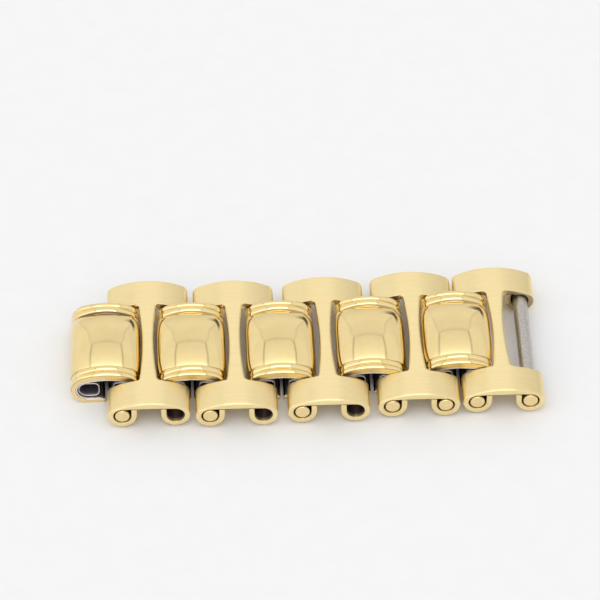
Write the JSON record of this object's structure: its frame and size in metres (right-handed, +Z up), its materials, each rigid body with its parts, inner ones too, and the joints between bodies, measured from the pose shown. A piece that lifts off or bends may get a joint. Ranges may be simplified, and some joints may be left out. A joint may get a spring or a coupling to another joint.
{
  "type": "watch bracelet section",
  "caption": "Section of a metal watch bracelet: H-shaped outer links with rolled eyes and pins, hinged to folded centre links with a polished pillow dome between beaded bands.",
  "frame": {"origin": "under the middle of the row, on the surface that the centre links lie on", "axes": "+X along the bracelet from the first centre link to the last outer link, +Y across the bracelet, away from the picture's camera, +Z up through the domes"},
  "size_m": [0.0428, 0.0168, 0.004],
  "materials": {
    "brushed_gold": "brushed along the bracelet",
    "polished_gold": "mirror polished",
    "pin_gold": "turned, faintly worn",
    "steel": "plain strip, worn"
  },
  "bodies": {
    "centre_1": {"centre_shell_1": "polished_gold", "centre_liner_1": "steel", "left_sleeve_1": "steel", "right_sleeve_1": "steel"},
    "outer_1": {"outer_link_1": "brushed_gold", "left_pin_1": "pin_gold", "right_pin_1": "steel"},
    "centre_2": {"centre_shell_2": "polished_gold", "centre_liner_2": "steel", "left_sleeve_2": "steel", "right_sleeve_2": "steel"},
    "outer_2": {"outer_link_2": "brushed_gold", "left_pin_2": "pin_gold", "right_pin_2": "steel"},
    "centre_3": {"centre_shell_3": "polished_gold", "centre_liner_3": "steel", "left_sleeve_3": "steel", "right_sleeve_3": "steel"},
    "outer_3": {"outer_link_3": "brushed_gold", "left_pin_3": "pin_gold", "right_pin_3": "steel"},
    "centre_4": {"centre_shell_4": "polished_gold", "centre_liner_4": "steel", "left_sleeve_4": "steel", "right_sleeve_4": "steel"},
    "outer_4": {"outer_link_4": "brushed_gold", "left_pin_4": "pin_gold", "right_pin_4": "pin_gold"},
    "centre_5": {"centre_shell_5": "polished_gold", "centre_liner_5": "steel", "left_sleeve_5": "steel", "right_sleeve_5": "steel"},
    "outer_5": {"outer_link_5": "brushed_gold", "left_pin_5": "pin_gold", "right_pin_5": "steel"}
  },
  "joints": [
    {"name": "hinge_centre_3_to_outer_3", "type": "hinge", "parent": "centre_3", "child": "outer_3", "pos_m": [-0.00056, -0.00023, 0.00155], "axis": [0, 1, 0], "range_deg": [-4, 30]},
    {"name": "hinge_outer_3_to_centre_4", "type": "hinge", "parent": "outer_3", "child": "centre_4", "pos_m": [0.00425, -0.00023, 0.00155], "axis": [0, 1, 0], "range_deg": [-4, 30]},
    {"name": "hinge_centre_4_to_outer_4", "type": "hinge", "parent": "centre_4", "child": "outer_4", "pos_m": [0.00761, 0.00015, 0.00155], "axis": [0, 1, 0], "range_deg": [-4, 30]},
    {"name": "hinge_outer_4_to_centre_5", "type": "hinge", "parent": "outer_4", "child": "centre_5", "pos_m": [0.01241, 0.00015, 0.00155], "axis": [0, 1, 0], "range_deg": [-4, 30]},
    {"name": "hinge_centre_5_to_outer_5", "type": "hinge", "parent": "centre_5", "child": "outer_5", "pos_m": [0.0153, 0.0004, 0.00155], "axis": [0, 1, 0], "range_deg": [-4, 30]},
    {"name": "hinge_centre_3_to_outer_2", "type": "hinge", "parent": "centre_3", "child": "outer_2", "pos_m": [-0.00407, -0.0004, 0.00155], "axis": [0, -1, 0], "range_deg": [-4, 30]},
    {"name": "hinge_outer_2_to_centre_2", "type": "hinge", "parent": "outer_2", "child": "centre_2", "pos_m": [-0.00888, -0.0004, 0.00155], "axis": [0, -1, 0], "range_deg": [-4, 30]},
    {"name": "hinge_centre_2_to_outer_1", "type": "hinge", "parent": "centre_2", "child": "outer_1", "pos_m": [-0.012, -0.00015, 0.00155], "axis": [0, -1, 0], "range_deg": [-4, 30]},
    {"name": "hinge_outer_1_to_centre_1", "type": "hinge", "parent": "outer_1", "child": "centre_1", "pos_m": [-0.0168, -0.00015, 0.00155], "axis": [0, -1, 0], "range_deg": [-4, 30]}
  ]
}
